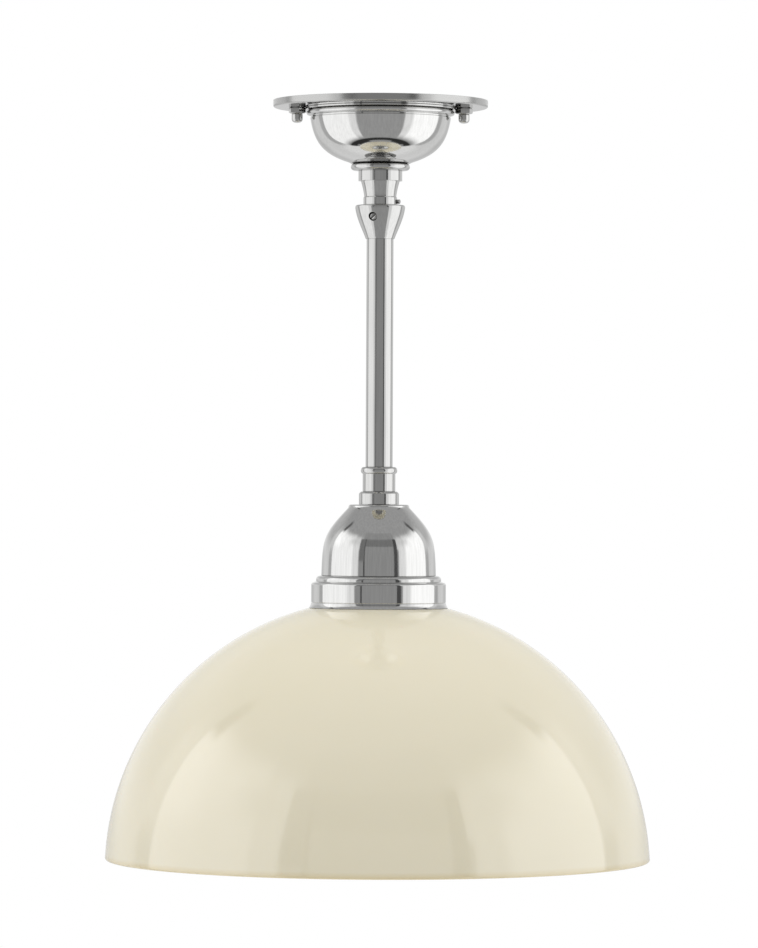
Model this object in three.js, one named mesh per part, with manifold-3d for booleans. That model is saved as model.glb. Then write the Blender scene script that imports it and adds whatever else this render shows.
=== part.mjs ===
// A rigid-stem pendant lamp: nickel-plated ceiling rose, turned neck, plain tube, bell and gallery over
// an E27 holder, and an opal glass dome. Millimetres, +Z up. The origin is on the lamp's axis at the
// ceiling, so the lamp hangs below it.
import * as THREE from "three";
import { mergeVertices } from "three/addons/utils/BufferGeometryUtils.js";
import Module from "manifold-3d";

const wasm = await Module();
wasm.setup();

// Ceiling rose
const plateRadius = 49.3;
const plateDepth = 3.35;
const plateWall = 1.3;
const plateOpening = 30.2;
const studSpacing = 76.6;
const studRadius = 1.95;
const strapThickness = 2;
const strapWidth = 14;
const strapLength = 90;
const slotCentre = 22;
const slotReach = 4;
const slotRadius = 2.3;
const bowlWall = 1.2;
const bowlBottom = -28.9;
const bowlFlangeRadius = 34.6;
const bowlMouth = 32.15;
const bowlMouthHeight = -7.9;

// Stem, from the neck under the bowl to the collar on the bell
const tubeRadius = 6.2;
const tubeTop = -48.3;
const tubeBottom = -173;
const nippleRadius = 5;
const nippleBore = 3.6;
const nippleHole = 5.2;
const upperNippleTop = -38.4;
const upperNippleBottom = -62;
const lowerNippleTop = -160;
const lowerNippleBottom = -197;
const stubHeight = 6.4;
const neckLength = 18.9;
const neckScrewDrop = 17.5;
const neckScrewRadius = 1;
const neckScrewLength = 4;
const ferruleTop = -48;
const ferruleLength = 15.5;
const ferruleScrewDrop = 5.6;
const ferruleScrewAngle = 19;
const ferruleScrewRadius = 1.7;
const ferruleScrewLength = 3.2;
const sleeveTop = -168.2;
const sleeveLength = 11.3;
const collarLength = 5.9;

// Bell and gallery
const bellTop = -185.5;
const bellBottom = -218.1;
const bellWall = 1;
const bellRadius = 26.3;
const galleryRadius = 30.9;
const galleryHeight = 14.8;
const galleryWall = 0.9;
const galleryHole = 20.4;
const galleryStepRadius = 28.7;

// Opal glass dome, a part of a sphere with a short neck
const domeRadius = 125.06;
const domeCentre = -353.94;
const domeRim = -348.6;
const glassWall = 3.5;
const glassNeckRadius = 28.4;
const glassNeckTop = -220.5;
const glassHole = 21.2;

// E27 holder and bulb
const holderTop = -190.2;
const holderBottom = -241;
const holderThreadRadius = 19.9;
const holderBore = 14.2;
const holderBodyTop = -207;
const holderBodyRadius = 18.3;
const bulbTop = -216.2;
const bulbLength = 107;
const bulbRadius = 30;
const threadPitch = 3.629;
const threadHeight = 0.45;
const capThreadRadius = 13.1;
const threadClearance = 0.3;
const threadRows = 6;
const threadSides = 18;
const shellTop = -221;
const shellRows = 23;
const capTop = -221.6;
const capRows = 20;

// Terminal block under the strap, and the cable that the stem holds all the way
const terminalPitch = 10;
const blockWidth = 17;
const blockHeight = 10.8;
const blockLength = 32;
const wireHoleDrop = 4.6;
const blockTop = -strapThickness - 0.1;
const cableTop = -20.4;
const cableBottom = -199.5;
const cableRadius = 3;
const leadRadius = 0.95;
const leadSpread = 1.3;
const contactBlockTop = -207.6;
const contactBlockDepth = 6;

// Facets round the axis
const wideSides = 40;
const middleSides = 28;
const slimSides = 20;
const smallSides = 12;

const nickel = new THREE.MeshStandardMaterial({ color: 0xdcdcda, roughness: 0.1, metalness: 1 });
const opalGlass = new THREE.MeshStandardMaterial({ color: 0xe5ddc4, roughness: 0.12, metalness: 0 });
const zincSteel = new THREE.MeshStandardMaterial({ color: 0xb9bdbf, roughness: 0.4, metalness: 1 });
const brass = new THREE.MeshStandardMaterial({ color: 0xc9a552, roughness: 0.35, metalness: 1 });
const blackPlastic = new THREE.MeshStandardMaterial({ color: 0x1e1e20, roughness: 0.45, metalness: 0 });
const whitePlastic = new THREE.MeshStandardMaterial({ color: 0xefeeea, roughness: 0.5, metalness: 0 });
const ceramic = new THREE.MeshStandardMaterial({ color: 0xf1efe8, roughness: 0.6, metalness: 0 });
const rubber = new THREE.MeshStandardMaterial({ color: 0x2b2b2b, roughness: 0.8, metalness: 0 });
const brownSheath = new THREE.MeshStandardMaterial({ color: 0x6a3f22, roughness: 0.5, metalness: 0 });
const blueSheath = new THREE.MeshStandardMaterial({ color: 0x2c63b0, roughness: 0.5, metalness: 0 });
const earthSheath = new THREE.MeshStandardMaterial({ color: 0x4f9a3c, roughness: 0.5, metalness: 0 });
const frostedBulb = new THREE.MeshStandardMaterial({ color: 0xf6f5f1, roughness: 0.5, metalness: 0 });

function named(name, geometry, material, x = 0, y = 0, z = 0) {
  const mesh = new THREE.Mesh(geometry, material);
  mesh.name = name;
  mesh.position.set(x, y, z);
  return mesh;
}

function point(radius, height) {
  return new THREE.Vector2(radius, height);
}

// A closed outline of radius and height, turned about the Z axis.
function turned(outline, sides) {
  const points = outline.map((p) => p.clone());
  if (THREE.ShapeUtils.area(points) < 0) points.reverse();
  points.push(points[0].clone());
  return new THREE.LatheGeometry(points, sides).rotateX(Math.PI / 2);
}

// The points of an outline whose curved stretches take a few steps each.
function outlineOf(path, steps) {
  const points = path.getPoints(steps);
  return points.filter((p, i) => i === 0 || p.distanceTo(points[i - 1]) > 1e-6);
}

// An open curve moved in by a wall thickness, towards the hollow side of a shell drawn from top to bottom.
function setIn(points, wall) {
  return points.map((p, i) => {
    const before = points[Math.max(i - 1, 0)];
    const after = points[Math.min(i + 1, points.length - 1)];
    const along = after.clone().sub(before).normalize();
    return point(p.x + along.y * wall, p.y - along.x * wall);
  });
}

// A solid whose outline changes with the angle, such as a screw thread. outlineAt gives it at an angle.
function turnedVarying(outlineAt, sides) {
  const rings = [];
  for (let i = 0; i < sides; i += 1) rings.push(outlineAt((2 * Math.PI * i) / sides));
  const count = rings[0].length;
  const positions = [];
  const indices = [];
  rings.forEach((ring, i) => {
    const angle = (2 * Math.PI * i) / sides;
    ring.forEach((p) => positions.push(p.x * Math.cos(angle), p.x * Math.sin(angle), p.y));
    for (let j = 0; j < count; j += 1) {
      const here = i * count + j;
      const above = i * count + ((j + 1) % count);
      const beside = ((i + 1) % sides) * count + j;
      const across = ((i + 1) % sides) * count + ((j + 1) % count);
      indices.push(here, beside, across, here, across, above);
    }
  });
  const made = new THREE.BufferGeometry();
  made.setAttribute("position", new THREE.Float32BufferAttribute(positions, 3));
  made.setIndex(indices);
  made.computeVertexNormals();
  return made;
}

function solidOf(geometry) {
  const bare = geometry.clone();
  bare.deleteAttribute("normal");
  bare.deleteAttribute("uv");
  const merged = mergeVertices(bare, 1e-4);
  const vertProperties = merged.attributes.position.array;
  const triVerts = new Uint32Array(merged.index.array);
  return new wasm.Manifold(new wasm.Mesh({ numProp: 3, vertProperties, triVerts }));
}

function geometryOf(solid) {
  const mesh = solid.getMesh();
  const made = new THREE.BufferGeometry();
  made.setAttribute("position", new THREE.BufferAttribute(mesh.vertProperties, 3));
  made.setIndex(new THREE.BufferAttribute(mesh.triVerts, 1));
  made.computeVertexNormals();
  return made;
}

function cut(geometry, ...tools) {
  return geometryOf(tools.reduce((rest, tool) => rest.subtract(solidOf(tool)), solidOf(geometry)));
}

function joined(geometry, ...others) {
  return geometryOf(others.reduce((whole, other) => whole.add(solidOf(other)), solidOf(geometry)));
}

// A round bar that stands on the XY plane at a height.
function bar(radius, height, sides, base = 0) {
  const standing = new THREE.CylinderGeometry(radius, radius, height, sides).rotateX(Math.PI / 2);
  return standing.translate(0, 0, base + height / 2);
}

// A plain tube between two heights.
function tube(outer, inner, top, bottom, sides) {
  return turned([point(inner, bottom), point(outer, bottom), point(outer, top), point(inner, top)], sides);
}

// A hexagon nut, given by the distance across its flats, that hangs down from height 0.
function hexagonNut(acrossFlats, height, hole) {
  const hexagon = bar(acrossFlats / Math.sqrt(3), height, 6, -height);
  return cut(hexagon, bar(hole, height + 2, slimSides, -height - 1));
}

// A headless screw along Z, from height 0 up, with a driver slot in its upper end.
function grubScrew(radius, length) {
  const slot = new THREE.BoxGeometry(radius * 3, radius * 0.4, radius * 0.9).translate(0, 0, length);
  return cut(bar(radius, length, smallSides), slot);
}

function mountingStrap() {
  const shape = new THREE.Shape();
  const halfWidth = strapWidth / 2;
  const straight = strapLength / 2 - halfWidth;
  shape.absarc(straight, 0, halfWidth, -Math.PI / 2, Math.PI / 2, false);
  shape.absarc(-straight, 0, halfWidth, Math.PI / 2, Math.PI * 1.5, false);
  for (const side of [-1, 1]) {
    const studHole = new THREE.Path();
    studHole.absarc((side * studSpacing) / 2, 0, studRadius + 0.25, 0, Math.PI * 2, true);
    shape.holes.push(studHole);
    const slot = new THREE.Path();
    slot.absarc(side * slotCentre + slotReach, 0, slotRadius, -Math.PI / 2, Math.PI / 2, false);
    slot.absarc(side * slotCentre - slotReach, 0, slotRadius, Math.PI / 2, Math.PI * 1.5, false);
    shape.holes.push(slot);
  }
  return new THREE.ExtrudeGeometry(shape, { depth: strapThickness, bevelEnabled: false, curveSegments: 4 });
}

// The plate is a shallow spun tray, open towards the ceiling. Its floor has the bowl's opening and the
// two stud holes.
function canopyPlate() {
  const path = new THREE.Path();
  path.moveTo(plateOpening, -plateDepth);
  path.lineTo(plateRadius - 1.1, -plateDepth);
  path.quadraticCurveTo(plateRadius - 0.1, -plateDepth, plateRadius, -plateDepth + 1);
  path.lineTo(plateRadius, 0);
  path.lineTo(plateRadius - plateWall, 0);
  path.lineTo(plateRadius - plateWall, -plateDepth + bowlWall);
  path.lineTo(plateOpening, -plateDepth + bowlWall);
  const hole = bar(studRadius + 0.4, 8, smallSides, -6);
  const holes = [-1, 1].map((side) => hole.clone().translate((side * studSpacing) / 2, 0, 0));
  return cut(turned(outlineOf(path, 2), wideSides), ...holes);
}

// The bowl is spun, with a flange that is soldered under the plate, a rolled bead and a groove under it,
// and a flat bottom with the neck's hole.
function canopyBowl() {
  const flangeHole = bowlFlangeRadius - 3.6;
  const top = -plateDepth;
  const side = new THREE.CubicBezierCurve(
    point(32.35, -8.1), point(30.4, -19.7), point(26.2, -24.7), point(14.5, -28.4),
  );
  const outside = side.getPoints(6);
  const flange = new THREE.Path();
  flange.moveTo(flangeHole, top);
  flange.lineTo(bowlFlangeRadius, top);
  flange.lineTo(bowlFlangeRadius, top - 0.8);
  flange.lineTo(33.3, -4.6);
  flange.quadraticCurveTo(34.9, -5.7, 33.3, -6.8);
  flange.lineTo(bowlMouth, -7.2);
  flange.lineTo(bowlMouth, bowlMouthHeight);
  const floor = [point(13.6, bowlBottom), point(nippleHole, bowlBottom)];
  const floorInside = floor.map((p) => point(p.x, p.y + bowlWall)).reverse();
  const inside = setIn(side.getPoints(4), bowlWall).slice(1, -1).reverse();
  const seat = [point(flangeHole, -8.6)];
  const outer = [...outlineOf(flange, 2), ...outside, ...floor];
  return turned([...outer, ...floorInside, ...inside, ...seat], middleSides);
}

// A domed cap nut: a low hexagon, a slim cylinder and a rounded end, with a blind hole for the stud.
function capNut() {
  const hexagonHeight = 2.6;
  const domeHeight = 4.1;
  const path = new THREE.Path();
  path.moveTo(0, 0);
  path.lineTo(2.75, 0);
  path.lineTo(2.7, -hexagonHeight - 1.6);
  path.quadraticCurveTo(2.6, -hexagonHeight - domeHeight + 0.3, 1.1, -hexagonHeight - domeHeight);
  path.lineTo(0, -hexagonHeight - domeHeight);
  const dome = turned(outlineOf(path, 3), smallSides);
  const hexagon = bar(7 / Math.sqrt(3), hexagonHeight, 6, -hexagonHeight);
  return cut(joined(hexagon, dome), bar(studRadius + 0.15, 10, smallSides, -5.3));
}

function terminalBlock() {
  const side = blockWidth / 2;
  const shoulder = -blockHeight * 0.55;
  const body = new THREE.Shape();
  body.moveTo(-side, 0);
  body.lineTo(-side, shoulder);
  body.lineTo(-side / 2, -blockHeight);
  body.lineTo(side / 2, -blockHeight);
  body.lineTo(side, shoulder);
  body.lineTo(side, 0);
  const bodyGeometry = new THREE.ExtrudeGeometry(body, { depth: blockLength, bevelEnabled: false });
  bodyGeometry.translate(0, 0, -blockLength / 2).rotateX(Math.PI / 2).rotateZ(Math.PI / 2);
  const holes = [];
  for (const x of [-terminalPitch, 0, terminalPitch]) {
    holes.push(bar(1.6, blockWidth + 2, 8, -side - 1).rotateX(Math.PI / 2).translate(x, 0, -wireHoleDrop));
    holes.push(bar(1.9, 6, 8, -blockHeight - 1).translate(x, 0, 0));
  }
  return cut(bodyGeometry, ...holes);
}

// The neck is turned from bar: a threaded stub through the bowl, a bead, a plain band, a taper and a ring
// with the lock screw.
function neck() {
  const beadCentre = -1.6;
  const path = new THREE.Path();
  path.moveTo(nippleBore, stubHeight);
  path.lineTo(nippleRadius, stubHeight);
  path.lineTo(nippleRadius, 0);
  path.lineTo(12, 0);
  path.absarc(12, beadCentre, 1.6, Math.PI / 2, -Math.PI / 2, true);
  path.lineTo(10.1, -3.4);
  path.lineTo(10.1, -8);
  path.lineTo(8.9, -8.1);
  path.bezierCurveTo(8.4, -10, 7.75, -11.8, 7.4, -15.2);
  path.lineTo(7.76, -15.7);
  path.lineTo(7.76, -neckLength);
  path.lineTo(nippleRadius + 0.3, -neckLength);
  path.lineTo(nippleRadius + 0.3, -9.1);
  path.lineTo(nippleBore, -8.1);
  const screwHole = bar(neckScrewRadius + 0.12, 12, smallSides).rotateY(Math.PI / 2);
  screwHole.translate(2, 0, -neckScrewDrop);
  return cut(turned(outlineOf(path, 3), slimSides), screwHole);
}

// The ferrule is a cone with a rounded shoulder that slides on the tube and is held there by its own screw.
function rodFerrule() {
  const bore = tubeRadius + 0.1;
  const path = new THREE.Path();
  path.moveTo(bore, 0);
  path.lineTo(10.5, 0);
  path.quadraticCurveTo(11.45, -0.1, 11.5, -1);
  path.bezierCurveTo(10.95, -6.2, 7.9, -11.8, tubeRadius + 0.4, -ferruleLength);
  path.lineTo(bore, -ferruleLength);
  const screwHole = bar(ferruleScrewRadius + 0.15, 12, smallSides).rotateX(Math.PI / 2);
  screwHole.translate(0, -2, -ferruleScrewDrop);
  screwHole.rotateZ(THREE.MathUtils.degToRad(-ferruleScrewAngle));
  return cut(turned(outlineOf(path, 4), slimSides), screwHole);
}

function couplingSleeve() {
  const tubeSeat = sleeveTop - tubeBottom;
  const path = new THREE.Path();
  path.moveTo(tubeRadius + 0.1, 0);
  path.lineTo(7.2, 0);
  path.bezierCurveTo(8.7, -0.2, 8.7, -2.9, 7.5, -3.1);
  path.lineTo(7.5, -sleeveLength);
  path.lineTo(nippleHole, -sleeveLength);
  path.lineTo(nippleHole, -tubeSeat - 0.1);
  path.lineTo(tubeRadius + 0.1, -tubeSeat - 0.1);
  return turned(outlineOf(path, 4), slimSides);
}

function bellCollar() {
  const path = new THREE.Path();
  path.moveTo(nippleHole, 0);
  path.lineTo(8.3, 0);
  path.lineTo(9.2, -0.9);
  path.lineTo(9.2, -collarLength);
  path.lineTo(nippleHole, -collarLength);
  return turned(outlineOf(path, 1), slimSides);
}

// The bell is spun to an even wall: a flat top with a soft edge, a quick shoulder and almost straight sides.
function bellCover() {
  const height = bellTop - bellBottom;
  const side = new THREE.CubicBezierCurve(
    point(14.1, -1.5), point(25.6, -13.5), point(25.8, -15.7), point(bellRadius, -height),
  );
  const outside = side.getPoints(7);
  const top = [point(nippleHole, 0), point(13.3, 0), point(13.8, -0.4)];
  const inside = setIn(side.getPoints(4), bellWall).slice(1, -1).reverse();
  const mouth = [point(bellRadius - bellWall, -height)];
  const topInside = [point(13.2, -bellWall - 0.6), point(12.6, -bellWall), point(nippleHole, -bellWall)];
  return turned([...top, ...outside, ...mouth, ...inside, ...topInside], middleSides);
}

// The gallery is a stepped ring with a flared lip. Its inner flange is clamped on the holder, and carries
// the glass.
function galleryRing() {
  const path = new THREE.Path();
  path.moveTo(galleryHole, 0);
  path.lineTo(bellRadius + 0.1, 0);
  path.quadraticCurveTo(galleryStepRadius - 0.1, -0.2, galleryStepRadius, -1.8);
  path.lineTo(galleryStepRadius, -2.7);
  path.lineTo(30, -3.2);
  path.quadraticCurveTo(galleryRadius, -3.4, galleryRadius, -4.4);
  path.lineTo(galleryRadius, -12.1);
  path.quadraticCurveTo(galleryRadius + 0.1, -13.4, galleryRadius + 1.05, -galleryHeight);
  path.lineTo(galleryRadius + 0.2, -galleryHeight + 0.2);
  path.lineTo(galleryRadius - galleryWall, -12.1);
  path.lineTo(galleryRadius - galleryWall, -4.8);
  path.lineTo(galleryStepRadius - galleryWall, -3.6);
  path.lineTo(galleryStepRadius - galleryWall, -2.2);
  path.lineTo(bellRadius, -galleryWall);
  path.lineTo(galleryHole, -galleryWall);
  return turned(outlineOf(path, 2), middleSides);
}

// The shade is blown and pressed: a spherical dome, a straight neck and a lip turned in at the top, which
// the ring clamps.
function glassShade() {
  const inner = domeRadius - glassWall;
  const neckInside = glassNeckRadius - glassWall;
  const corner = 3.6;
  const rimRound = 1.3;
  const outerAtNeck = Math.acos(glassNeckRadius / domeRadius);
  const outerAtRim = Math.asin((domeRim + rimRound - domeCentre) / domeRadius);
  const innerAtRim = Math.asin((domeRim + rimRound - domeCentre) / inner);
  const innerAtNeck = Math.acos(neckInside / inner);
  const outside = new THREE.Path().absarc(0, domeCentre, domeRadius, outerAtNeck, outerAtRim, true);
  const inside = new THREE.Path().absarc(0, domeCentre, inner, innerAtRim, innerAtNeck, false);
  const shoulder = new THREE.Path();
  shoulder.absarc(glassNeckRadius - corner, glassNeckTop - corner, corner, Math.PI / 2, 0, true);
  const lip = [point(glassHole, glassNeckTop - glassWall), point(glassHole, glassNeckTop)];
  const rim = [point(domeRadius - rimRound, domeRim), point(inner + rimRound * 0.7, domeRim)];
  const under = [point(neckInside, glassNeckTop - glassWall)];
  const outer = [...shoulder.getPoints(2), ...outside.getPoints(4)];
  return turned([...lip, ...outer, ...rim, ...inside.getPoints(3), ...under], wideSides);
}

function shadeRing() {
  const bore = holderThreadRadius + 0.3;
  const flange = glassNeckRadius - glassWall - 0.6;
  return turned(
    [
      point(bore, 0), point(flange, 0), point(flange, -2.4), point(22.9, -2.9),
      point(22.9, -7), point(22.5, -7.4), point(bore, -7.4),
    ],
    slimSides,
  );
}

// The holder's cap screws on the nipple. Its skirt stands on the gallery's flange and the threaded body
// hangs from it.
function holderCap() {
  const height = holderTop - bellBottom;
  const path = new THREE.Path();
  path.moveTo(nippleHole, 0);
  path.lineTo(8, 0);
  path.lineTo(8.4, -3);
  path.bezierCurveTo(15, -3.4, 20.5, -8, 20.5, -15.6);
  path.lineTo(22, -16.6);
  path.lineTo(22, -height);
  path.lineTo(18.6, -height);
  path.lineTo(18.6, -15.6);
  path.bezierCurveTo(18.4, -10, 14, -7, 9, -6.3);
  path.lineTo(nippleHole, -6.3);
  return turned(outlineOf(path, 2), slimSides);
}

function holderBody() {
  const step = bellBottom - 0.1;
  return turned(
    [
      point(holderBore, holderBodyTop), point(holderBodyRadius, holderBodyTop),
      point(holderBodyRadius, step), point(holderThreadRadius, step),
      point(holderThreadRadius, holderBottom + 0.6), point(holderThreadRadius - 0.6, holderBottom),
      point(holderBore, holderBottom),
    ],
    slimSides,
  );
}

// How far a right-handed thread stands out at a height and an angle, from 0 in the groove to 1 on the crest.
function threadWave(height, angle) {
  return 0.5 + 0.5 * Math.cos((2 * Math.PI * height) / threadPitch - angle);
}

// The holder's brass shell has the bulb cap's wave, a little wider, so the bulb screws through it.
function threadedShell() {
  const smallest = capThreadRadius - 2 * threadHeight + threadClearance;
  const outer = holderBore - 0.2;
  return turnedVarying((angle) => {
    const outline = [];
    for (let row = 0; row <= shellRows; row += 1) {
      const height = shellTop - (row * threadPitch) / threadRows;
      outline.push(point(smallest + 2 * threadHeight * threadWave(height, angle), height));
    }
    outline.push(point(outer, outline[shellRows].y), point(outer, shellTop));
    return outline;
  }, threadSides);
}

// The bulb's cap: a pressed shell whose thread fades in and out at its ends, and a plain skirt where the
// globe starts.
function bulbCap() {
  const smallest = capThreadRadius - 2 * threadHeight;
  const inner = smallest - 0.7;
  const bottom = bulbTop - 25.3;
  return turnedVarying((angle) => {
    const outline = [point(inner, capTop)];
    for (let row = 0; row <= capRows; row += 1) {
      const height = capTop - (row * threadPitch) / threadRows;
      const fade = Math.min(1, row / 3, (capRows - row) / 3);
      outline.push(point(smallest + 2 * threadHeight * fade * threadWave(height, angle), height));
    }
    outline.push(point(smallest, bottom + 3.3), point(capThreadRadius, bottom + 2.7));
    outline.push(point(capThreadRadius, bottom), point(inner, bottom));
    return outline.reverse();
  }, threadSides);
}

function bulbGlobe() {
  const top = bulbTop - 25.6;
  const centre = bulbTop - bulbLength + bulbRadius;
  const wall = 1;
  const outer = new THREE.Path();
  outer.moveTo(13.4, top);
  outer.bezierCurveTo(13.6, top - 18, bulbRadius, centre + 24, bulbRadius, centre);
  outer.absarc(0, centre, bulbRadius, 0, -Math.PI / 2, true);
  const inner = new THREE.Path();
  inner.absarc(0, centre, bulbRadius - wall, -Math.PI / 2, 0, false);
  inner.bezierCurveTo(bulbRadius - wall, centre + 23, 12.5, top - 18, 12.2, top);
  const points = [...outlineOf(outer, 3), ...outlineOf(inner, 2)];
  points.push(points[0].clone());
  return new THREE.LatheGeometry(points.reverse(), slimSides).rotateX(Math.PI / 2);
}

// A round lead along a smooth route.
function lead(route, radius, steps) {
  const shape = new THREE.Shape();
  shape.absarc(0, 0, radius, 0, Math.PI * 2, false);
  const extrudePath = new THREE.CatmullRomCurve3(route);
  return new THREE.ExtrudeGeometry(shape, { steps, extrudePath, bevelEnabled: false, curveSegments: 3 });
}

// A lead from the cable's upper end, round under the block and into its wire hole.
function roseLead(order) {
  const angle = (order * 2 * Math.PI) / 3 - Math.PI / 2;
  const x = order * terminalPitch;
  const startX = leadSpread * Math.cos(angle);
  const startY = leadSpread * Math.sin(angle);
  const route = [
    new THREE.Vector3(startX, startY, cableTop + 0.3),
    new THREE.Vector3(startX, startY, cableTop + 1.6),
    new THREE.Vector3(startX + x * 0.4, startY - 3, cableTop + 3.6),
    new THREE.Vector3(x, -12.5, cableTop + 6.5),
    new THREE.Vector3(x, -14.5, blockTop - 7),
    new THREE.Vector3(x, -11, blockTop - wireHoleDrop),
    new THREE.Vector3(x, -8.8, blockTop - wireHoleDrop),
  ];
  return lead(route, leadRadius, 11);
}

function holderLead(side) {
  const route = [
    new THREE.Vector3(side * leadSpread, 0, cableBottom - 0.3),
    new THREE.Vector3(side * leadSpread, 0, cableBottom - 1.6),
    new THREE.Vector3(side * 4.5, 0, cableBottom - 4),
    new THREE.Vector3(side * 7, 0, contactBlockTop + 1.8),
    new THREE.Vector3(side * 7, 0, contactBlockTop + 0.3),
  ];
  return lead(route, leadRadius, 7);
}

function centreContact() {
  const width = 5;
  const strip = new THREE.Shape();
  strip.moveTo(-9, 0);
  strip.lineTo(-4, 0);
  strip.lineTo(-1, -1.6);
  strip.lineTo(3, -1.6);
  strip.lineTo(3, -2);
  strip.lineTo(-1.2, -2);
  strip.lineTo(-4.2, -0.4);
  strip.lineTo(-9, -0.4);
  const pressed = new THREE.ExtrudeGeometry(strip, { depth: width, bevelEnabled: false });
  return pressed.translate(0, 0, -width / 2).rotateX(Math.PI / 2);
}

function ceilingRose() {
  const rose = new THREE.Group();
  rose.add(named("mounting_strap", mountingStrap(), zincSteel, 0, 0, -strapThickness));
  for (const [side, word] of [[-1, "left"], [1, "right"]]) {
    const x = (side * studSpacing) / 2;
    rose.add(named(`stud_${word}`, bar(studRadius, 8.2, smallSides), zincSteel, x, 0, -8.2));
    rose.add(named(`cap_nut_${word}`, capNut(), nickel, x, 0, -plateDepth));
  }
  rose.add(named("canopy_plate", canopyPlate(), nickel));
  rose.add(named("canopy_bowl", canopyBowl(), nickel));
  rose.add(named("terminal_block", terminalBlock(), whitePlastic, 0, 0, blockTop));
  [-1, 0, 1].forEach((order, i) => {
    const word = ["live", "earth", "neutral"][i];
    const sheath = [brownSheath, earthSheath, blueSheath][i];
    const x = order * terminalPitch;
    const screw = named(`terminal_screw_${word}`, grubScrew(1.6, 3.6), brass, x, 0, blockTop - 7);
    screw.rotation.x = Math.PI;
    rose.add(screw);
    rose.add(named(`rose_lead_${word}`, roseLead(order), sheath));
  });
  rose.add(named("neck", neck(), nickel, 0, 0, bowlBottom));
  const screwHeight = bowlBottom - neckScrewDrop;
  const screwShape = grubScrew(neckScrewRadius, neckScrewLength);
  const lockScrew = named("neck_lock_screw", screwShape, nickel, nippleRadius + 0.4, 0, screwHeight);
  lockScrew.rotation.y = Math.PI / 2;
  rose.add(lockScrew);
  const washer = tube(9, nippleHole + 0.2, 1, 0, smallSides);
  rose.add(named("neck_washer", washer, zincSteel, 0, 0, bowlBottom + bowlWall));
  rose.add(named("neck_nut", hexagonNut(14, 3, nippleHole), brass, 0, 0, bowlBottom + bowlWall + 4));
  const cable = bar(cableRadius, cableTop - cableBottom, smallSides);
  rose.add(named("supply_cable", cable, whitePlastic, 0, 0, cableBottom));
  return rose;
}

function stem() {
  const group = new THREE.Group();
  const upperNipple = tube(nippleRadius, nippleBore, upperNippleTop, upperNippleBottom, smallSides);
  group.add(named("upper_nipple", upperNipple, zincSteel));
  const stemTube = tube(tubeRadius, nippleRadius + 0.15, tubeTop, tubeBottom, slimSides);
  group.add(named("stem_tube", stemTube, nickel));
  group.add(named("coupling_sleeve", couplingSleeve(), nickel, 0, 0, sleeveTop));
  group.add(named("bell_collar", bellCollar(), nickel, 0, 0, sleeveTop - sleeveLength));
  const lowerNipple = tube(nippleRadius, nippleBore, lowerNippleTop, lowerNippleBottom, smallSides);
  group.add(named("lower_nipple", lowerNipple, zincSteel));
  group.add(named("bell_nut", hexagonNut(14, 3, nippleHole), brass, 0, 0, bellTop - bellWall - 0.1));
  group.add(named("bell_cover", bellCover(), nickel, 0, 0, bellTop));
  group.add(named("gallery_ring", galleryRing(), nickel, 0, 0, bellBottom));
  const gasket = tube(26, galleryHole + 0.4, bellBottom - galleryWall, glassNeckTop, slimSides);
  group.add(named("gasket", gasket, rubber));
  group.add(named("glass_shade", glassShade(), opalGlass));
  group.add(named("shade_ring", shadeRing(), blackPlastic, 0, 0, glassNeckTop - glassWall - 0.1));
  return group;
}

function lampholder() {
  const group = new THREE.Group();
  group.add(named("holder_cap", holderCap(), blackPlastic, 0, 0, holderTop));
  group.add(named("holder_body", holderBody(), blackPlastic));
  const blockFoot = contactBlockTop - contactBlockDepth;
  const contactBlock = bar(holderBore - 0.3, contactBlockDepth, slimSides);
  group.add(named("contact_block", contactBlock, ceramic, 0, 0, blockFoot));
  group.add(named("centre_contact", centreContact(), brass, 0, 0, blockFoot));
  group.add(named("threaded_shell", threadedShell(), brass));
  group.add(named("holder_lead_live", holderLead(-1), brownSheath));
  group.add(named("holder_lead_neutral", holderLead(1), blueSheath));
  return group;
}

function ferrule() {
  const group = new THREE.Group();
  group.add(named("rod_ferrule", rodFerrule(), nickel, 0, 0, ferruleTop));
  const turn = new THREE.Group();
  turn.rotation.z = THREE.MathUtils.degToRad(-ferruleScrewAngle);
  const screwShape = grubScrew(ferruleScrewRadius, ferruleScrewLength);
  const screwHeight = ferruleTop - ferruleScrewDrop;
  const screw = named("ferrule_screw", screwShape, nickel, 0, -tubeRadius - 0.3, screwHeight);
  screw.rotation.x = Math.PI / 2;
  turn.add(screw);
  group.add(turn);
  return group;
}

function bulb() {
  const group = new THREE.Group();
  const tip = turned([point(0, -1.2), point(5, -1.2), point(4.4, 0), point(0, 0)], smallSides);
  group.add(named("bulb_tip_contact", tip, nickel, 0, 0, bulbTop));
  const coneSide = [point(11, -3.6), point(10.6, -2.4), point(5.4, 0)];
  const cone = turned([point(0, -3.6), ...coneSide, point(0, 0)], smallSides);
  group.add(named("bulb_insulator", cone, blackPlastic, 0, 0, bulbTop - 1.2));
  group.add(named("bulb_cap", bulbCap(), zincSteel));
  group.add(named("bulb_globe", bulbGlobe(), frostedBulb));
  return group;
}

const pendantLamp = new THREE.Group();
pendantLamp.add(ceilingRose(), stem(), lampholder(), ferrule(), bulb());

export default pendantLamp;
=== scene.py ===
import math

import bpy
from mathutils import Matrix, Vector
from mathutils.geometry import interpolate_bezier


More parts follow.
